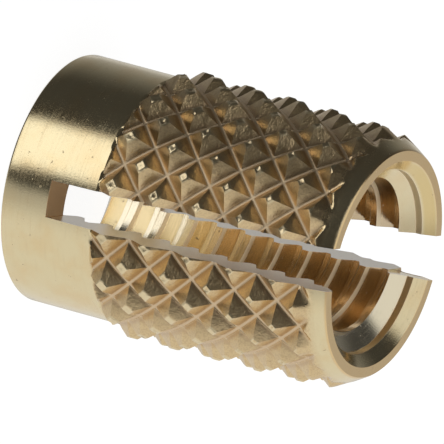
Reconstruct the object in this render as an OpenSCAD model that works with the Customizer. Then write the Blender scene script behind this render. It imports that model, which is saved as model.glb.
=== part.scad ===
// Threaded insert: a turned brass sleeve with a plain collar at one end, a diamond knurl
// over the rest of its length, a tapered nose and one saw cut through both walls from the nose.
// Millimetres. The origin is the centre of the collar's end face and +Z runs to the nose.
// The fine thread of the bore is left out: the bore is drawn at the thread's minor diameter.

/* [Sleeve] */
// overall length, end face to end face
length = 7.82; // [7:0.01:9.5]
// diameter of the plain collar, a slip fit in the moulded hole
collar_d = 5.4; // [5.3:0.01:6.2]
// length of the plain collar, up to the first diamonds
collar_l = 2.25; // [1.7:0.01:2.9]
// broken edge round the collar's end
edge_break = 0.05; // [0.02:0.005:0.12]

/* [Knurl] */
// helical grooves in each direction
knurl_starts = 16; // [12:1:20]
// rows of diamonds between the first and the last row of crossings
knurl_rows = 9; // [6:1:12]
// groove bottom below the collar's surface at the collar end
root_drop = 0.071; // [0.05:0.001:0.11]
// further drop of the groove bottom towards the nose
root_taper = 0.086; // [0.03:0.001:0.11]
// height of the diamonds over the collar's surface at the collar end
tip_rise = 0.237; // [0.12:0.001:0.28]
// loss of diamond height towards the nose
tip_taper = 0.095; // [0.02:0.001:0.11]
// half width of the blunt top of a diamond at the collar end
tip_flat = 0.1; // [0.06:0.005:0.13]
// half width of the blunt top of a diamond at the nose end
tip_flat_end = 0.06; // [0.04:0.005:0.1]
// turn of the whole pattern about the axis
knurl_phase = -0.9; // [-11:0.1:11]
// drift of the pattern from row to row
knurl_drift = -0.13; // [-0.5:0.01:0.5]

/* [Nose] */
// diameter of the nose's end face
nose_d = 4.97; // [4.9:0.01:5.1]
// half angle of the nose taper
nose_angle = 28; // [20:1:34]
// length of the taper that carries no diamonds
nose_l = 0.29; // [0.2:0.01:0.4]
// broken edge round the nose's end face
nose_break = 0.03; // [0.01:0.005:0.06]

/* [Bore] */
// nominal diameter of the thread
thread_d = 4; // [3.9:0.05:4.1]
// pitch of the thread
thread_pitch = 0.7; // [0.5:0.05:0.8]
// diameter of both mouths
mouth_d = 4.48; // [4.3:0.01:4.6]
// included angle of the countersink at the collar's mouth
sink_angle = 120; // [90:1:130]
// length bored out to the thread's diameter under the chamfer of the nose's mouth
lead_l = 0.14; // [0.05:0.01:0.3]

/* [Slot] */
// width of the saw cut at its bottom
slot_w = 0.8; // [0.5:0.01:1]
// how far the legs have sprung open at the nose
slot_open = 0.113; // [0:0.001:0.2]
// how far the cut sits off the axis at its bottom
slot_shift = 0.04; // [-0.08:0.005:0.08]
// height of the cut's square bottom over the collar's end face
slot_bottom = 1.09; // [0.8:0.01:1.5]

/* [Hidden] */
collar_r = collar_d / 2;
nose_r = nose_d / 2;
mouth_r = mouth_d / 2;
minor_r = (thread_d - 1.0825 * thread_pitch) / 2;
// the collar's countersink; at the nose a 90 degree chamfer, the lead-in and the cone of the
// 118 degree drill that bored it
sink_l = (mouth_r - minor_r) / tan(sink_angle / 2);
lead_r = thread_d / 2;
lead_top = length - (mouth_r - lead_r);
lead_foot = lead_top - lead_l;
drill_point = 118;
drill_foot = lead_foot - (lead_r - minor_r) / tan(drill_point / 2);
knurl_z0 = collar_l;
knurl_z1 = length - nose_l;
nose_slope = tan(nose_angle);
nose_base_r = nose_r + nose_slope * nose_l;
first_part = 0.657;
last_part = 0.632;
row_pitch = (knurl_z1 - knurl_z0) / (first_part + knurl_rows + last_part);
row_z0 = knurl_z0 + first_part * row_pitch;
half_step = 180 / knurl_starts;
// the core lies under the deepest groove, and the knurl's ring reaches into the core
core_under = 0.09;
ring_into = 0.07;
core_r = min(collar_r - root_drop - root_taper, nose_base_r) - core_under;
ring_r = core_r - ring_into;
// the ring's end rows lie just inside the collar and the nose, and its feet are sunk in both
collar_inset = 0.01;
nose_inset = 0.006;
collar_foot = 0.1;
nose_foot = 0.04;
lap = 0.004;
// values for the turned surfaces
$fn = 96;

// which node to draw

// knurl: heights along the sleeve of the rows and radii of roots and tips
function row_z(i) = row_z0 + row_pitch * i;
function along(z) = (z - row_z0) / (row_pitch * knurl_rows);
function root_r(z) = collar_r - root_drop - root_taper * along(z);
function nose_at(z) = nose_r + nose_slope * (length - z);
function tip_r(z) = min(collar_r + tip_rise - tip_taper * along(z), nose_at(z));
function flat_at(z) = tip_flat + (tip_flat_end - tip_flat) * along(z);
function turn(i, j) = knurl_phase + half_step * j + knurl_drift * i;
function at(r, a, z) = [r * cos(a), r * sin(a), z];

// columns of the crossings and of the tips of row i
function cross_j(i, k) = 2 * k + (i % 2);
function tip_j(i, k) = 2 * k + 1 - (i % 2);

// point numbers
n = knurl_starts;
q = 4 * n;
tips_0 = (knurl_rows + 1) * n;
low_0 = tips_0 + 4 * (knurl_rows + 1) * n;
high_0 = low_0 + 3 * q;
function cross_id(i, j) = i * n + floor((((j % (2 * n)) + 2 * n) % (2 * n)) / 2);
function tip_id(i, k, c) = tips_0 + 4 * (i * n + k) + c;
function low_id(ring, t) = low_0 + ring * q + ((t % q) + q) % q;
function high_id(ring, t) = high_0 + ring * q + ((t % q) + q) % q;

// one end row: where the ridges and the grooves run out, four points to a start
function end_turn(i, part, t, c) =
    turn(i, c + 2 * floor(t / 4) + [0, part, 1, 2 - part][t % 4]);

crossings = [for (i = [0:knurl_rows]) for (k = [0:n - 1])
    at(root_r(row_z(i)), turn(i, cross_j(i, k)), row_z(i))];

tip_moves = [[-1, 0], [0, -1], [1, 0], [0, 1]];
tips = [for (i = [0:knurl_rows]) for (k = [0:n - 1]) for (c = [0:3])
    let (z = row_z(i), w = flat_at(z), a = w / collar_r * 180 / PI)
    at(tip_r(z), turn(i, tip_j(i, k)) + tip_moves[c][1] * a, z + tip_moves[c][0] * w)];

low_r = [collar_r - collar_inset, root_r(knurl_z0), collar_r - collar_inset, root_r(knurl_z0)];
low_row = [for (t = [0:q - 1])
    at(low_r[t % 4], end_turn(-first_part, first_part, t, 0), knurl_z0 + lap)];
low_foot = [for (t = [0:q - 1])
    at(low_r[t % 4], end_turn(-first_part, first_part, t, 0), knurl_z0 - collar_foot)];
low_inner = [for (t = [0:q - 1])
    at(ring_r, end_turn(-first_part, first_part, t, 0), knurl_z0 - collar_foot)];

c1 = knurl_rows % 2;
high_r = nose_base_r - nose_inset;
high_row = [for (t = [0:q - 1])
    at(high_r, end_turn(knurl_rows + last_part, last_part, t, c1), knurl_z1 - lap)];
high_foot = [for (t = [0:q - 1])
    at(high_r - nose_foot, end_turn(knurl_rows + last_part, last_part, t, c1), knurl_z1 + nose_foot)];
high_inner = [for (t = [0:q - 1])
    at(ring_r, end_turn(knurl_rows + last_part, last_part, t, c1), knurl_z1 + nose_foot)];

// the blunt top of each diamond
top_faces = [for (i = [0:knurl_rows]) for (k = [0:n - 1]) for (f = [[0, 1, 2], [0, 2, 3]])
    [tip_id(i, k, f[0]), tip_id(i, k, f[1]), tip_id(i, k, f[2])]];

// the two flanks towards the collar, from the second row on
back_faces = [for (i = [1:knurl_rows]) for (k = [0:n - 1])
    let (j = tip_j(i, k), l = cross_id(i - 1, j), d = cross_id(i, j - 1), u = cross_id(i, j + 1))
    for (f = [
        [l, d, tip_id(i, k, 1)], [l, tip_id(i, k, 1), tip_id(i, k, 0)],
        [u, l, tip_id(i, k, 0)], [u, tip_id(i, k, 0), tip_id(i, k, 3)]]) f];

// the two flanks towards the nose, up to the last row but one
fore_faces = [for (i = [0:knurl_rows - 1]) for (k = [0:n - 1])
    let (j = tip_j(i, k), h = cross_id(i + 1, j), d = cross_id(i, j - 1), u = cross_id(i, j + 1))
    for (f = [
        [d, h, tip_id(i, k, 2)], [d, tip_id(i, k, 2), tip_id(i, k, 1)],
        [h, u, tip_id(i, k, 3)], [h, tip_id(i, k, 3), tip_id(i, k, 2)]]) f];

// the first row, run out on the collar's shoulder
first_faces = [for (k = [0:n - 1])
    let (t = 4 * k, c = cross_id(0, 2 * k), u = cross_id(0, 2 * k + 2))
    for (f = [
        [low_id(0, t + 1), c, tip_id(0, k, 1)],
        [low_id(0, t + 1), tip_id(0, k, 1), tip_id(0, k, 0)],
        [low_id(0, t + 1), tip_id(0, k, 0), low_id(0, t + 2)],
        [low_id(0, t + 3), low_id(0, t + 2), tip_id(0, k, 0)],
        [low_id(0, t + 3), tip_id(0, k, 0), tip_id(0, k, 3)],
        [low_id(0, t + 3), tip_id(0, k, 3), u],
        [low_id(0, t - 1), c, low_id(0, t)],
        [c, low_id(0, t + 1), low_id(0, t)]]) f];

// the last row, run out on the nose
last_faces = [for (k = [0:n - 1])
    let (t = 4 * k, j = cross_j(knurl_rows, k), kt = c1 == 1 ? (k + 1) % n : k)
    let (c = cross_id(knurl_rows, j), u = cross_id(knurl_rows, j + 2))
    for (f = [
        [high_id(0, t + 1), high_id(0, t + 2), tip_id(knurl_rows, kt, 2)],
        [high_id(0, t + 1), tip_id(knurl_rows, kt, 2), tip_id(knurl_rows, kt, 1)],
        [high_id(0, t + 1), tip_id(knurl_rows, kt, 1), c],
        [high_id(0, t + 3), u, tip_id(knurl_rows, kt, 3)],
        [high_id(0, t + 3), tip_id(knurl_rows, kt, 3), tip_id(knurl_rows, kt, 2)],
        [high_id(0, t + 3), tip_id(knurl_rows, kt, 2), high_id(0, t + 2)],
        [c, high_id(0, t - 1), high_id(0, t)],
        [high_id(0, t + 1), c, high_id(0, t)]]) f];

// the feet of the ring, sunk in the collar and in the nose, and its inner wall
foot_faces = [for (t = [0:q - 1]) for (f = [
    [low_id(1, t), low_id(0, t), low_id(0, t + 1)],
    [low_id(1, t), low_id(0, t + 1), low_id(1, t + 1)],
    [low_id(1, t), low_id(1, t + 1), low_id(2, t + 1)],
    [low_id(1, t), low_id(2, t + 1), low_id(2, t)],
    [high_id(0, t), high_id(1, t), high_id(1, t + 1)],
    [high_id(0, t), high_id(1, t + 1), high_id(0, t + 1)],
    [high_id(1, t), high_id(2, t), high_id(2, t + 1)],
    [high_id(1, t), high_id(2, t + 1), high_id(1, t + 1)],
    [low_id(2, t), low_id(2, t + 1), high_id(2, t + 1)],
    [low_id(2, t), high_id(2, t + 1), high_id(2, t)]]) f];

module knurl_ring() {
    polyhedron(
        points = concat(crossings, tips, low_row, low_foot, low_inner,
            high_row, high_foot, high_inner),
        faces = concat(top_faces, back_faces, fore_faces, first_faces, last_faces, foot_faces),
        convexity = 10);
}

// everything that is turned: collar, core, nose, bore and both mouths
module turned() {
    rotate_extrude() polygon([
        [mouth_r, 0],
        [collar_r - edge_break, 0],
        [collar_r, edge_break],
        [collar_r, collar_l],
        [core_r, collar_l],
        [core_r, knurl_z1],
        [nose_base_r, knurl_z1],
        [nose_r, length - nose_break],
        [nose_r - nose_break, length],
        [mouth_r, length],
        [lead_r, lead_top],
        [lead_r, lead_foot],
        [minor_r, drill_foot],
        [minor_r, sink_l]]);
}

// the saw cut: square bottom, one wall along the axis, the other sprung open
module saw_cut() {
    right = slot_shift + slot_w / 2;
    left = slot_shift - slot_w / 2;
    lean = slot_open / (length - slot_bottom);
    over = 0.5;
    rotate([90, 0, 0]) linear_extrude(height = 2 * collar_d, center = true) polygon([
        [left, slot_bottom],
        [right, slot_bottom],
        [right, length + over],
        [left - slot_open - lean * over, length + over]]);
}

module insert_body() {
    color([0.80, 0.67, 0.42]) difference() {
        union() {
            turned();
            knurl_ring();
        }
        saw_cut();
    }
}

insert_body();
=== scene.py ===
import math

import bpy
from mathutils import Matrix, Vector


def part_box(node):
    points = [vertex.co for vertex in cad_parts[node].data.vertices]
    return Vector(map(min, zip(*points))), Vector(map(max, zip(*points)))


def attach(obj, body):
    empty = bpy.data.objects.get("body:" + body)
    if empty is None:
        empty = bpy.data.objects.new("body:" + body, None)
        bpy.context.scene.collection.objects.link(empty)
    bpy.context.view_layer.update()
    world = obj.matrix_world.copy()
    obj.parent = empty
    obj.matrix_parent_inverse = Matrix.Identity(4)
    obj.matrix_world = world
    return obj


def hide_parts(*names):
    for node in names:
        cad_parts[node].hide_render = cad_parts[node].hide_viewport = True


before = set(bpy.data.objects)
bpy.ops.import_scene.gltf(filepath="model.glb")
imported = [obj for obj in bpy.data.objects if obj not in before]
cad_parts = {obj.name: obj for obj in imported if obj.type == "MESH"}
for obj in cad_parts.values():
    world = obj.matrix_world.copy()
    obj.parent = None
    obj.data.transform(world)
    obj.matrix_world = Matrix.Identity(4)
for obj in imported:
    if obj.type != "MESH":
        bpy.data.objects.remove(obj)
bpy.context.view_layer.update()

# ---- The sleeve ------------------------------------------------------------------------
# One piece of free-cutting brass. It is turned and bored in a lathe, knurled by two angled
# wheels that raise blunt diamonds, tapped right through, and last slotted by a circular saw
# from the nose, so that a screw can spread its two legs in a moulded hole.

MM = 0.001

low, high = (Vector(corner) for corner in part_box("insert_body"))
length = high.z - low.z
collar_r = 2.7 * MM
collar_end = 2.25 * MM
edge_break = 0.05 * MM
nose_r = 2.485 * MM
nose_slope = math.tan(math.radians(28))
nose_break = 0.03 * MM
mouth_r = 2.24 * MM
lead_r = 2.004 * MM
lead_length = 0.14 * MM
drill_slope = math.tan(math.radians(31))
collar_sink_slope = math.tan(math.radians(30))

thread_pitch = 0.7 * MM
thread_r = 2.0 * MM
thread_flank_slope = math.tan(math.radians(30))
minor_r = thread_r - 0.54125 * thread_pitch

lead_top = length - (mouth_r - lead_r)
lead_foot = lead_top - lead_length
drill_foot = lead_foot - (lead_r - minor_r) * drill_slope
collar_sink = (mouth_r - minor_r) * collar_sink_slope

knurl_starts = 16
knurl_rows = 9
first_row = 2.587 * MM
row_pitch = 0.5131 * MM
half_step = math.pi / knurl_starts
knurl_phase = math.radians(-0.9)
knurl_drift = math.radians(-0.13)

# the mesh has whole cells to a row of diamonds, and they run on past the first and last row
cells_per_row = 12
cell = row_pitch / cells_per_row
run_in_cells = 10
run_out_cells = 8
knurl_cells = run_in_cells + knurl_rows * cells_per_row + run_out_cells
knurl_foot = first_row - run_in_cells * cell
knurl_head = first_row + (knurl_rows * cells_per_row + run_out_cells) * cell


def even_steps(start, end, count):
    """Evenly spaced profile points after start, up to and with end."""
    return [
        tuple(a + (b - a) * (i + 1) / count for a, b in zip(start, end))
        for i in range(count)
    ]


def sleeve_profile():
    """The lathe profile, outside from the collar's face to the nose and back through the bore.
    Each point is a radius and a height; the two numbers say which spans carry the knurl."""
    nose_start = (nose_r + nose_slope * (length - knurl_head), knurl_head)
    nose_edge = (nose_r, length - nose_break)
    points = [(mouth_r, 0.0)]
    points += even_steps(points[-1], (collar_r - edge_break, 0.0), 2)
    for turn in (30, 60, 90):
        angle = math.radians(turn)
        radius = collar_r - edge_break + edge_break * math.sin(angle)
        points.append((radius, edge_break - edge_break * math.cos(angle)))
    points += even_steps(points[-1], (collar_r, knurl_foot - 0.05 * MM), 6)
    points += [(collar_r, knurl_foot - gap * MM) for gap in (0.02, 0.006, 0.0)]
    knurl_from = len(points) - 1
    points += [(collar_r, knurl_foot + cell * (i + 1)) for i in range(knurl_cells)]
    knurl_to = len(points) - 1
    points += even_steps(nose_start, nose_edge, 5)
    points += even_steps(nose_edge, (nose_r - nose_break, length), 2)
    points += even_steps(points[-1], (mouth_r, length), 2)
    points += even_steps(points[-1], (lead_r, lead_top), 2)
    points.append((lead_r, lead_foot))
    points += even_steps(points[-1], (minor_r, drill_foot), 2)
    points += even_steps(points[-1], (minor_r, collar_sink), 12)
    points += even_steps(points[-1], points[0], 3)[:-1]
    return points, knurl_from, knurl_to


def turned_blank():
    """The blank as it leaves the lathe, with a mesh line along every groove to be rolled."""
    profile, knurl_from, knurl_to = sleeve_profile()
    columns = 2 * knurl_starts * cells_per_row
    verts = []
    for radius, z in profile:
        lead = knurl_phase + knurl_drift * (z - first_row) / row_pitch
        for c in range(columns):
            angle = lead + half_step * c / cells_per_row
            verts.append((radius * math.cos(angle), radius * math.sin(angle), z))
    faces = []
    for r in range(len(profile)):
        this_ring = r * columns
        next_ring = (r + 1) % len(profile) * columns
        for c in range(columns):
            beside = (c + 1) % columns
            a, b = this_ring + c, this_ring + beside
            d, e = next_ring + c, next_ring + beside
            if knurl_from <= r < knurl_to:
                block = (r - knurl_from - run_in_cells) // cells_per_row + c // cells_per_row
                if block % 2 == 0:
                    faces += [(a, b, e), (a, e, d)]
                else:
                    faces += [(a, b, d), (b, e, d)]
            else:
                faces.append((a, b, e, d))
    mesh = bpy.data.meshes.new("threaded_sleeve")
    mesh.from_pydata(verts, [], faces)
    blank = bpy.data.objects.new("threaded_sleeve", mesh)
    bpy.context.scene.collection.objects.link(blank)
    return blank


class Rule:
    """A number that nodes work out, so that a rule of shape reads as it would on paper."""

    def __init__(self, tree, socket):
        self.tree, self.socket = tree, socket

    def calc(self, operation, *others):
        node = self.tree.nodes.new("ShaderNodeMath")
        node.operation = operation
        for socket, value in zip(node.inputs, (self, *others)):
            if isinstance(value, Rule):
                self.tree.links.new(value.socket, socket)
            else:
                socket.default_value = value
        return Rule(self.tree, node.outputs[0])

    def __add__(self, other):
        return self.calc("ADD", other)

    def __sub__(self, other):
        return self.calc("SUBTRACT", other)

    def __mul__(self, other):
        return self.calc("MULTIPLY", other)

    def __truediv__(self, other):
        return self.calc("DIVIDE", other)

    def least(self, other):
        return self.calc("MINIMUM", other)

    def most(self, other):
        return self.calc("MAXIMUM", other)

    def soft_least(self, other, width):
        return self.calc("SMOOTH_MIN", other, width)

    def soft_most(self, other, width):
        return self.calc("SMOOTH_MAX", other, width)


def vector(tree, *values):
    """Joins three numbers or rules to a place."""
    join = tree.nodes.new("ShaderNodeCombineXYZ")
    for socket, value in zip(join.inputs, values):
        if isinstance(value, Rule):
            tree.links.new(value.socket, socket)
        else:
            socket.default_value = value
    return join.outputs[0]


def parts_of(tree, place):
    """A place's x, y and z as three rules."""
    split = tree.nodes.new("ShaderNodeSeparateXYZ")
    tree.links.new(place, split.inputs[0])
    return [Rule(tree, socket) for socket in split.outputs]


def between(start, end, share):
    """Start at share 0, end at share 1."""
    return share * (end - start) + start


def grain(tree, place, scale, detail):
    """Noise from 0 to 1 at a place."""
    node = tree.nodes.new("ShaderNodeTexNoise")
    node.inputs["Scale"].default_value = scale
    node.inputs["Detail"].default_value = detail
    tree.links.new(place, node.inputs["Vector"])
    return Rule(tree, node.outputs["Fac"])


machining = {
    "Knurl starts": knurl_starts,
    "Knurl first row": first_row,
    "Knurl row pitch": row_pitch,
    "Knurl rows": knurl_rows,
    "Knurl phase": knurl_phase,
    "Knurl drift": knurl_drift,
    "Groove radius at collar": 2.629 * MM,
    "Groove radius at nose": 2.543 * MM,
    "Diamond radius at collar": 2.935 * MM,
    "Diamond radius at nose": 2.84 * MM,
    "Groove floor": 0.08,
    "Groove fillet": 0.17,
    "Blunt top at collar": 0.22,
    "Blunt top at nose": 0.13,
    "Crater depth": 0.028 * MM,
    "Diamond unevenness": 0.012 * MM,
    "Seed": 7,
    "Thread pitch": thread_pitch,
    "Thread root radius": thread_r,
    "Bore radius": minor_r,
    "Thread crest flat": 0.15 * MM,
    "Thread root flat": 0.107 * MM,
    "Thread start": 0.4548 * MM - 2 * thread_pitch,
    "Thread turns": 14,
    "Slot bottom": 1.09 * MM,
    "Slot right wall": 0.44 * MM,
    "Slot left wall": -0.36 * MM,
    "Slot opening": 0.113 * MM,
    "Nick foot": 6.97 * MM,
    "Nick depth": 0.12 * MM,
    "Length": length,
}


def tooth_error(tree, size, row, column):
    """Each tooth's own small error of height, from -1 to 1. The number that tells one tooth
    from the next counts round the sleeve first and then up it."""
    row_stride = 64.0
    round_it = column.calc("ROUND").calc("FLOORED_MODULO", size["Knurl starts"] * 2.0)
    tooth = round_it + row.calc("ROUND") * row_stride
    chance = tree.nodes.new("FunctionNodeRandomValue")
    chance.data_type = "FLOAT"
    for socket in chance.inputs:
        if socket.name == "Min" and socket.type == "VALUE":
            socket.default_value = -1.0
        if socket.name == "ID":
            tree.links.new(tooth.socket, socket)
        if socket.name == "Seed":
            tree.links.new(size["Seed"].socket, socket)
    return Rule(tree, [s for s in chance.outputs if s.type == "VALUE"][0])


def knurling(tree, mesh, size):
    """Rolls the diamonds: a point's place in the crossing helices gives its new radius."""
    position = tree.nodes.new("GeometryNodeInputPosition").outputs[0]
    x, y, z = parts_of(tree, position)
    old_r = (x * x + y * y).calc("SQRT")
    turn = y.calc("ARCTAN2", x)
    step = size["Knurl starts"].calc("POWER", -1.0) * math.pi

    # along the axis in rows, and round it in half steps; crossings where their sum is even
    row = (z - size["Knurl first row"]) / size["Knurl row pitch"]
    column = (turn - size["Knurl phase"] - size["Knurl drift"] * row) / step
    right_hand = ((column + row) * 0.5).calc("PINGPONG", 0.5) * 2.0
    left_hand = ((column - row) * 0.5).calc("PINGPONG", 0.5) * 2.0
    share = row / size["Knurl rows"]

    def along(name):
        return between(size[name + " at collar"], size[name + " at nose"], share)

    # the flank between the groove's floor and the blunt top, then the crater in the top
    height = right_hand.least(left_hand)
    top = along("Blunt top")
    floor = size["Groove floor"]
    flank_span = top * -1.0 + 1.0 - floor
    flank = ((height - floor) / flank_span).soft_most(0.0, size["Groove fillet"]).least(1.0)
    inside = ((height + top - 1.0) / top).most(0.0)
    dip = inside.calc("SQRT") * size["Crater depth"]
    crumbs_a_metre = 14.0 / MM
    crumb_height = size["Crater depth"] * inside.least(0.6) * 2.2
    crumb = (grain(tree, position, crumbs_a_metre, 1.0) * 2.0 - 1.0) * crumb_height

    # the grooves grow shallow where the wheels' edge stops short of the nose
    short_of_nose = 0.29 * MM
    shallowing = 0.29
    wheel_edge_r = nose_r + nose_slope * short_of_nose
    run_out = (z - (length - short_of_nose)) * shallowing + wheel_edge_r
    groove = along("Groove radius").most(run_out)
    unevenness = tooth_error(tree, size, row, column) * size["Diamond unevenness"]
    crest = along("Diamond radius") + unevenness
    rolled = groove + (crest - groove) * flank - dip + crumb

    # the wheels' edge leaves the collar's corner, and the nose's taper is turned last
    corner_round = 0.02 * MM
    taper_round = 0.015 * MM
    shoulder_foot = collar_end - 0.045 * MM
    groove_foot = collar_end - 0.07 * MM
    shoulder = (z - shoulder_foot) * 1.1 + collar_r
    end_of_groove = (z - groove_foot) * -1.3 + collar_r
    taper = z * -nose_slope + (nose_r + nose_slope * length)
    rolled = rolled.soft_least(shoulder.most(collar_r), corner_round)
    rolled = rolled.most(end_of_groove.least(collar_r))
    rolled = rolled.soft_least(taper, taper_round)

    # only the outside moves, from just past the knurl's first ring of points to its last
    outside_r = 2.45 * MM
    chosen = old_r.calc("GREATER_THAN", outside_r)
    chosen = chosen * z.calc("GREATER_THAN", knurl_foot + cell / 2)
    chosen = chosen * z.calc("LESS_THAN", knurl_head + cell / 2)
    scale = rolled / old_r
    move = tree.nodes.new("GeometryNodeSetPosition")
    tree.links.new(mesh, move.inputs["Geometry"])
    tree.links.new(chosen.socket, move.inputs["Selection"])
    tree.links.new(vector(tree, x * scale, y * scale, z), move.inputs["Position"])
    return move.outputs["Geometry"]


def cut(tree, mesh, tool):
    """Takes the tool's solid out of the mesh."""
    node = tree.nodes.new("GeometryNodeMeshBoolean")
    node.operation = "DIFFERENCE"
    node.solver = "EXACT"
    tree.links.new(mesh, node.inputs[0])
    tree.links.new(tool, node.inputs[1])
    return node.outputs["Mesh"]


def tapping(tree, mesh, size):
    """Cuts the thread: a helical ridge with 60 degree flanks, run right through the bore."""
    steps_per_turn = 96
    helix = tree.nodes.new("GeometryNodeCurveSpiral")
    helix.inputs["Resolution"].default_value = steps_per_turn
    helix.inputs["Reverse"].default_value = True
    middle = (size["Thread root radius"] + size["Bore radius"]) * 0.5
    rise = size["Thread pitch"] * size["Thread turns"]
    tree.links.new(size["Thread turns"].socket, helix.inputs["Rotations"])
    tree.links.new(middle.socket, helix.inputs["Start Radius"])
    tree.links.new(middle.socket, helix.inputs["End Radius"])
    tree.links.new(rise.socket, helix.inputs["Height"])
    upright = tree.nodes.new("GeometryNodeSetCurveNormal")
    upright.mode = "Z_UP"
    tree.links.new(helix.outputs[0], upright.inputs[0])

    section = tree.nodes.new("GeometryNodeCurvePrimitiveQuadrilateral")
    section.mode = "POINTS"
    under = 0.04 * MM
    outer = size["Thread root radius"] - middle
    inner = size["Bore radius"] - middle - under
    wide = (size["Thread pitch"] - size["Thread crest flat"]) * 0.5 + under * thread_flank_slope
    narrow = size["Thread root flat"] * 0.5
    corners = ((inner, wide), (inner, wide * -1.0), (outer, narrow * -1.0), (outer, narrow))
    for i, corner in enumerate(corners):
        tree.links.new(vector(tree, *corner), section.inputs["Point %d" % (i + 1)])

    sweep = tree.nodes.new("GeometryNodeCurveToMesh")
    sweep.inputs["Fill Caps"].default_value = True
    tree.links.new(upright.outputs[0], sweep.inputs["Curve"])
    tree.links.new(section.outputs[0], sweep.inputs["Profile Curve"])
    lift = tree.nodes.new("GeometryNodeTransform")
    tree.links.new(sweep.outputs[0], lift.inputs["Geometry"])
    tree.links.new(vector(tree, 0.0, 0.0, size["Thread start"]), lift.inputs["Translation"])
    return cut(tree, mesh, lift.outputs[0])


def cutter(tree, shape):
    """A six-sided tool. The shape gives each corner's place from its side, depth and end,
    which are 0 or 1."""
    block = tree.nodes.new("GeometryNodeMeshCube")
    block.inputs["Size"].default_value = (2.0, 2.0, 2.0)
    corner = tree.nodes.new("GeometryNodeInputPosition").outputs[0]
    side, deep, end = (flag.calc("GREATER_THAN", 0.0) for flag in parts_of(tree, corner))
    move = tree.nodes.new("GeometryNodeSetPosition")
    tree.links.new(block.outputs["Mesh"], move.inputs["Geometry"])
    tree.links.new(vector(tree, *shape(side, deep, end)), move.inputs["Position"])
    return move.outputs[0]


def sawing(tree, mesh, size):
    """Cuts the slot: one wall runs with the axis, the other is sprung open towards the nose.
    Then a file's corner takes a nick out of one leg's far wall, at its end."""
    over = 0.5 * MM
    lean = size["Slot opening"] / (size["Length"] - size["Slot bottom"])
    beyond = size["Length"] + over

    def slot(side, deep, end):
        saw_reach = 4.0 * MM
        left_end = size["Slot left wall"] - size["Slot opening"] - lean * over
        left = between(size["Slot left wall"], left_end, end)
        x = between(left, size["Slot right wall"], side)
        return x, between(-saw_reach, saw_reach, deep), between(size["Slot bottom"], beyond, end)

    def nick(side, deep, end):
        file_near = 1.45 * MM
        file_far = 3.15 * MM
        clear = 0.1 * MM
        overlap = 0.004 * MM
        right = size["Slot right wall"] - overlap + size["Nick depth"] * deep
        x = between(size["Slot right wall"] - clear, right, side)
        return x, between(file_near, file_far, deep), between(size["Nick foot"], beyond, end)

    sawn = cut(tree, mesh, cutter(tree, slot))
    return cut(tree, sawn, cutter(tree, nick))


def machining_tree():
    """The steps in order as one tree, with a named input for each size and for the finish."""
    tree = bpy.data.node_groups.new("machine_the_sleeve", "GeometryNodeTree")
    tree.interface.new_socket("Mesh", in_out="INPUT", socket_type="NodeSocketGeometry")
    kinds = {int: "NodeSocketInt", float: "NodeSocketFloat"}
    for label, value in machining.items():
        tree.interface.new_socket(label, in_out="INPUT", socket_type=kinds[type(value)])
    tree.interface.new_socket("Finish", in_out="INPUT", socket_type="NodeSocketMaterial")
    tree.interface.new_socket("Mesh", in_out="OUTPUT", socket_type="NodeSocketGeometry")
    entry = tree.nodes.new("NodeGroupInput")
    size = {label: Rule(tree, entry.outputs[label]) for label in machining}
    mesh = knurling(tree, entry.outputs["Mesh"], size)
    mesh = tapping(tree, mesh, size)
    mesh = sawing(tree, mesh, size)
    real = tree.nodes.new("GeometryNodeRealizeInstances")
    tree.links.new(mesh, real.inputs[0])
    finish = tree.nodes.new("GeometryNodeSetMaterial")
    tree.links.new(real.outputs[0], finish.inputs["Geometry"])
    tree.links.new(entry.outputs["Finish"], finish.inputs["Material"])
    result = tree.nodes.new("NodeGroupOutput")
    tree.links.new(finish.outputs[0], result.inputs[0])
    return tree


def fade(value, dark, light):
    """0 up to dark and 1 from light on, with a soft turn between."""
    node = value.tree.nodes.new("ShaderNodeMapRange")
    node.interpolation_type = "SMOOTHSTEP"
    value.tree.links.new(value.socket, node.inputs["Value"])
    node.inputs["From Min"].default_value = min(dark, light)
    node.inputs["From Max"].default_value = max(dark, light)
    share = Rule(value.tree, node.outputs[0])
    return share if light > dark else share * -1.0 + 1.0


def tint(tree, under, over, share):
    """Lays one colour over another by a share."""
    node = tree.nodes.new("ShaderNodeMix")
    node.data_type = "RGBA"
    tree.links.new(share.socket, node.inputs[0])
    for socket, colour in zip((node.inputs[6], node.inputs[7]), (under, over)):
        if isinstance(colour, tuple):
            socket.default_value = (*colour, 1.0)
        else:
            tree.links.new(colour, socket)
    return node.outputs[2]


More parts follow.
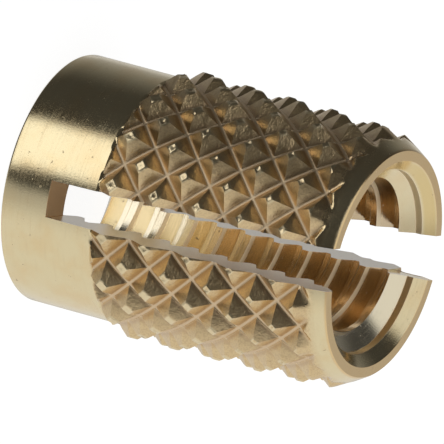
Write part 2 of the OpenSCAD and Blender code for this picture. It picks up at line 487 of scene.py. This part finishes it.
def turned_brass():
    """Bright brass as machined: lathe lines, fine pits, browner knurl flanks with painted shade
    low beside the grooves, a browner thread past the collar with painted light near it, painted
    light and shade on one leg's mouth, burnished groove floors and paler, duller saw cuts."""
    material = bpy.data.materials.new("turned_brass")
    material.use_nodes = True
    tree = material.node_tree
    shader = tree.nodes["Principled BSDF"]
    shader.inputs["Metallic"].default_value = 1.0
    metres = tree.nodes.new("ShaderNodeTexCoord").outputs["Object"]
    large = tree.nodes.new("ShaderNodeVectorMath")
    large.operation = "SCALE"
    large.inputs["Scale"].default_value = 1.0 / MM
    tree.links.new(metres, large.inputs[0])
    spot = large.outputs[0]
    x, y, z = parts_of(tree, spot)
    r = (x * x + y * y).calc("SQRT")

    # the sleeve's edges in millimetres, as all that follows is
    collar_top, nose_top = collar_end / MM, length / MM
    mouth, lead, root, minor = mouth_r / MM, lead_r / MM, thread_r / MM, minor_r / MM
    sink_top, cone_foot = collar_sink / MM, drill_foot / MM
    lead_low, lead_high, nose = lead_foot / MM, lead_top / MM, nose_r / MM

    # the saw's walls with a skin over them, and how high a point stands from the groove's
    # floor, where 1 is a diamond's top
    skin = 0.0025
    slot_bottom = machining["Slot bottom"] / MM
    right_wall = machining["Slot right wall"] / MM + skin
    lean = machining["Slot opening"] / (length - machining["Slot bottom"])
    left_wall = (z - slot_bottom) * -lean + (machining["Slot left wall"] / MM - skin)
    diamond_height = 0.3
    groove_fall = machining["Groove radius at collar"] - machining["Groove radius at nose"]
    groove_slope = groove_fall / (knurl_rows * row_pitch)
    groove_r = machining["Groove radius at collar"] / MM
    groove = (z - first_row / MM) * -groove_slope + groove_r
    rise = (r - groove) / diamond_height

    # where each finish lies, and where light and shade are painted, with edges that fade over a
    # few hundredths
    sawn = x.calc("LESS_THAN", right_wall) * x.calc("GREATER_THAN", left_wall)
    sawn = sawn * z.calc("GREATER_THAN", slot_bottom - skin)
    slot_walls = sawn * fade(z, slot_bottom + 0.01, slot_bottom + 0.05)
    slot_floor = sawn - slot_walls
    turned = sawn * -1.0 + 1.0
    outside = fade(r, 2.4, 2.45) * turned
    knurled = fade(z, collar_top - 0.07, collar_top) * outside
    knurled = knurled * fade(z, nose_top - 0.2, nose_top - 0.42)
    grooves = knurled * fade(rise, 0.1, 0.03)
    low_flank_shade = knurled * fade(rise, 0.04, 0.12) * fade(rise, 0.4, 0.12)
    flanks = knurled * fade(rise, 0.03, 0.08)
    tops = knurled * fade(rise, 0.86, 0.93)
    tapped = fade(z, sink_top - 0.06, sink_top + 0.14) * fade(r, root + 0.1, root + 0.05)
    tapped = tapped * fade(z, cone_foot + 0.066, cone_foot - 0.034) * turned
    crest = tapped * fade(r, minor + 0.109, minor + 0.079)
    crest = crest * fade(r, minor + 0.003, minor + 0.013)
    bore = tapped - crest
    # painted light: the thread is painted paler near the collar's open end; past it the thread
    # turns browner
    painted_light_by_collar = fade(z, 2.9, 2.2)
    past_collar = fade(z, 2.3, 3.2)
    nose_face = fade(z, lead_high + 0.016, lead_high + 0.056)
    nose_face = nose_face * fade(r, nose + 0.015, nose - 0.015)
    nose_ring = nose_face * fade(r, mouth - 0.015, mouth)
    # painted light and shade on the leg left of the slot: its chamfer darker, its lead-in paler
    # and its drill cone less pale than the other leg's
    painted_light_leg = fade(x, 0.2, -0.4)
    chamfer_painted_shade = nose_face * fade(r, mouth, mouth - 0.04) * painted_light_leg
    inside = fade(r, lead + 0.046, lead + 0.006) * turned
    lead_in = fade(z, lead_low - 0.014, lead_low + 0.001) * inside
    lead_in = lead_in * fade(z, lead_high + 0.016, lead_high + 0.001)
    drill_cone = fade(z, cone_foot - 0.014, cone_foot + 0.006) * inside
    drill_cone = drill_cone * fade(z, lead_low + 0.006, lead_low - 0.004)

    # what varies over the metal
    round_lines = grain(tree, vector(tree, x * 1.1, y * 1.1, (z + r) * 24.0), 1.0, 3.0)
    cross_lines = grain(tree, vector(tree, x * 2.0, y * 2.5, z * 34.0), 1.0, 2.0)
    lines = between(round_lines, cross_lines, sawn)
    speckle = grain(tree, spot, 26.0, 2.0)
    mottle = grain(tree, spot, 1.6, 3.0)
    crumbs = grain(tree, spot, 8.0, 3.0)
    pits = fade(grain(tree, spot, 9.0, 4.0), 0.69, 0.75)

    # the metal's own colour, and each layer over it with its share; the layers marked below
    # paint light or shade
    colour = (0.87, 0.74, 0.46)
    layers = (
        ((0.86, 0.69, 0.40), fade(mottle, 0.4, 0.7)),
        ((0.78, 0.60, 0.35), fade(round_lines, 0.55, 0.8) * 0.35),
        ((0.80, 0.60, 0.33), flanks * between(0.6, 1.1, crumbs)),
        # painted shade: the low flanks darker beside the grooves
        ((0.58, 0.40, 0.24), low_flank_shade * 0.6),
        ((0.60, 0.43, 0.25), flanks * fade(speckle, 0.46, 0.6) * 0.4),
        ((0.80, 0.62, 0.41), grooves * 0.9),
        ((0.88, 0.74, 0.47), tops * 0.8),
        ((0.86, 0.60, 0.30), nose_ring * 0.75),
        # painted shade on one leg's chamfer
        ((0.82, 0.63, 0.30), chamfer_painted_shade * 0.8),
        # painted light: the thread paler near the collar's open end
        ((0.92, 0.83, 0.64), tapped * painted_light_by_collar * 0.9),
        ((0.90, 0.71, 0.48), bore * past_collar * 0.9),
        ((0.99, 0.81, 0.56), crest * 0.9),
        # the drill cone paler, more on one leg than the other, which is painted light
        ((0.93, 0.84, 0.64), drill_cone * between(0.8, 0.2, painted_light_leg)),
        ((0.86, 0.66, 0.40), lead_in * 0.9),
        # painted highlight on one leg's lead-in
        ((0.98, 0.86, 0.62), lead_in * painted_light_leg),
        ((0.96, 0.89, 0.78), slot_walls),
        ((0.86, 0.61, 0.36), slot_floor * 0.9),
        ((0.36, 0.25, 0.14), pits * 0.5),
    )
    for over, share in layers:
        colour = tint(tree, colour, over, share)
    tree.links.new(colour, shader.inputs["Base Color"])

    # the polish of the turned metal, and the least roughness of each duller finish
    rough = fade(speckle, 0.35, 0.8) * 0.1 + 0.13
    rough = rough + fade(lines, 0.4, 0.8) * 0.08
    duller = (
        grooves * 0.5,
        slot_walls * 0.3,
        slot_floor * 0.55,
        crest * 0.38,
        lead_in * between(0.45, 0.6, painted_light_leg),
        flanks * 0.28,
    )
    for finish in duller:
        rough = rough.most(finish)
    rough = rough + pits * 0.2
    tree.links.new(rough.socket, shader.inputs["Roughness"])

    # heights of the fine relief in thousandths of a millimetre
    bump = tree.nodes.new("ShaderNodeBump")
    bump.inputs["Strength"].default_value = 1.0
    bump.inputs["Distance"].default_value = 0.001 * MM
    relief = lines * (tapped * 2.0 + 0.9) + speckle + pits * -2.0
    relief = relief + flanks * (crumbs * 7.0 + speckle * 4.5)
    tree.links.new(relief.socket, bump.inputs["Height"])
    tree.links.new(bump.outputs[0], shader.inputs["Normal"])
    return material


sleeve = turned_blank()
brass = turned_brass()
sleeve.data.materials.append(brass)
steps = sleeve.modifiers.new("machining", "NODES")
steps.node_group = machining_tree()
for item in steps.node_group.interface.items_tree:
    if item.in_out == "INPUT" and item.name in machining:
        steps[item.identifier] = machining[item.name]
    if item.in_out == "INPUT" and item.name == "Finish":
        steps[item.identifier] = brass
depsgraph = bpy.context.evaluated_depsgraph_get()
machined = bpy.data.meshes.new_from_object(sleeve.evaluated_get(depsgraph))
sleeve.modifiers.clear()
sleeve.data = machined

# round forms shade softly, and every sharp corner and the sawn walls stay crisp
crisp_corner = math.radians(42)
slot_left = -0.5 * MM
slot_right = 0.45 * MM
slot_from = 1.08 * MM
sleeve.data.shade_smooth()
sleeve.data.set_sharp_from_angle(angle=crisp_corner)
for face in sleeve.data.polygons:
    if slot_left < face.center.x < slot_right and face.center.z > slot_from:
        face.use_smooth = False
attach(sleeve, "root")
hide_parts("insert_body")

# ---- The camera ------------------------------------------------------------------------
# A long lens on a bench stand, looking down on the sleeve from beside its slot, and turned
# on its side so that the sleeve lies across the view.

side_turn = math.radians(-100.3985)
look_down = math.radians(26.5845)
roll = math.radians(15.2005)
along_sleeve = 3.329 * MM
below_sleeve = 0.9425 * MM
distance = 315.0 * MM
axis = Vector((0.0, 0.0, 1.0))
level = Vector((math.cos(side_turn), math.sin(side_turn), 0.0))
across = axis.cross(level)
towards = math.sin(look_down) * axis + math.cos(look_down) * level
along_axis = math.cos(look_down) * axis - math.sin(look_down) * level
right = math.cos(roll) * along_axis - math.sin(roll) * across
up = -(math.sin(roll) * along_axis + math.cos(roll) * across)
aim = right * along_sleeve - up * below_sleeve
lens = bpy.data.cameras.new("camera")
lens.lens = 1200
lens.sensor_width = 36
lens.clip_start = 0.01
lens.clip_end = 2
camera = bpy.data.objects.new("camera", lens)
stand = Matrix((right, up, towards)).transposed()
camera.matrix_world = Matrix.Translation(aim + towards * distance) @ stand.to_4x4()
bpy.context.scene.collection.objects.link(camera)
bpy.context.scene.camera = camera

# ---- The floor -------------------------------------------------------------------------
# A sheet of matt white card under the sleeve. It glows faintly of itself, so that it stays
# white beside the lit metal, and it still takes the sleeve's shadow.

sheet_size = 0.4
bpy.ops.mesh.primitive_plane_add(size=sheet_size)
floor = bpy.context.object
floor.name = "floor"
card = bpy.data.materials.new("white_card")
card.use_nodes = True
matt = card.node_tree.nodes["Principled BSDF"]
matt.inputs["Base Color"].default_value = (0.3, 0.3, 0.3, 1.0)
matt.inputs["Roughness"].default_value = 0.9
matt.inputs["Emission Color"].default_value = (1.0, 1.0, 1.0, 1.0)
matt.inputs["Emission Strength"].default_value = 0.9
floor.data.materials.append(card)
floor.visible_glossy = False
floor.visible_shadow = False

# ---- The light -------------------------------------------------------------------------
# A small light tent. A softbox hangs over the collar's side, a white sheet hangs below and a
# white backdrop behind, which the metal shows too. A reflector and a white card stand off
# the nose, and the room between them is dim.

studio = bpy.data.worlds.new("light_tent")
bpy.context.scene.world = studio
studio.use_nodes = True
tent = studio.node_tree
tent.nodes.clear()


def aim_at(x, down, toward):
    """A direction from the sleeve, told from where the camera looks at it."""
    return (right * x - up * down + towards * toward).normalized()


def facing(tree, ray, direction):
    """How far the ray runs along the direction, from -1 to 1."""
    dot = tree.nodes.new("ShaderNodeVectorMath")
    dot.operation = "DOT_PRODUCT"
    tree.links.new(ray, dot.inputs[0])
    dot.inputs[1].default_value = direction
    return Rule(tree, dot.outputs["Value"])


ray = tent.nodes.new("ShaderNodeTexCoord").outputs["Generated"]
path = tent.nodes.new("ShaderNodeLightPath").outputs
mirrored = Rule(tent, path["Is Glossy Ray"])
sheet_way = aim_at(-0.242, 0.929, -0.281)
behind = aim_at(0.0, 0.0, -1.0)
reflector_way = aim_at(0.86, 0.02, 0.51)
card_way = aim_at(0.772, 0.21, -0.6)
box_way = aim_at(-0.648, -0.567, 0.507)
box_up = aim_at(0.26, -0.49, -0.22)
box_up = (box_up - box_way * box_up.dot(box_way)).normalized()
box_across = box_way.cross(box_up)

# how brightly each surface glows, where 1 is white
room_glow = 0.045
sheet_edge_glow = 0.44
sheet_glow = 0.74
backdrop_glow = 0.58
backdrop_centre_glow = 0.16
backdrop_limit = 0.57
box_glow = 1.2
reflector_glow = 0.74
card_glow = 0.49

# the sheet is dim at its edge and brightest in its middle
low_side = facing(tent, ray, sheet_way)
middle = fade(low_side, 0.18, 0.62)
sheet = fade(low_side, 0.0, 0.2) * between(sheet_edge_glow, sheet_glow, middle)

# the backdrop falls off from its centre into the dim room
backdrop_reach = math.radians(72)
off_centre = facing(tent, ray, behind).calc("ARCCOSINE") / backdrop_reach
fall_off = (off_centre * -1.0 + 1.0).most(0.0).calc("POWER", 1.45)
backdrop = fall_off * backdrop_glow + room_glow
backdrop = backdrop + fade(off_centre, 0.36, 0.26) * backdrop_centre_glow
backdrop = backdrop.least(backdrop_limit) * mirrored

# the softbox is a soft-edged rectangle, and the reflector and the card are soft discs
box_low = 0.032
ahead = facing(tent, ray, box_way).most(0.001)
tall = (facing(tent, ray, box_up) / ahead + box_low).calc("ABSOLUTE")
wide = (facing(tent, ray, box_across) / ahead).calc("ABSOLUTE")
softbox = fade(tall, 0.47, 0.26) * fade(wide, 0.45, 0.3) * box_glow
reflector = fade(facing(tent, ray, reflector_way), 0.765, 0.87) * reflector_glow
nose_card = fade(facing(tent, ray, card_way), 0.88, 0.96) * card_glow

total = sheet.most(backdrop).most(softbox).most(reflector).most(nose_card)
lit = tent.nodes.new("ShaderNodeBackground")
grey = tent.nodes.new("ShaderNodeCombineColor")
for socket in grey.inputs:
    tent.links.new(total.socket, socket)
tent.links.new(grey.outputs[0], lit.inputs["Color"])
white = tent.nodes.new("ShaderNodeBackground")
white.inputs["Color"].default_value = (1.0, 1.0, 1.0, 1.0)
mix = tent.nodes.new("ShaderNodeMixShader")
tent.links.new(path["Is Camera Ray"], mix.inputs[0])
tent.links.new(lit.outputs[0], mix.inputs[1])
tent.links.new(white.outputs[0], mix.inputs[2])
out = tent.nodes.new("ShaderNodeOutputWorld")
tent.links.new(mix.outputs[0], out.inputs[0])
bpy.context.scene.view_settings.view_transform = "Standard"
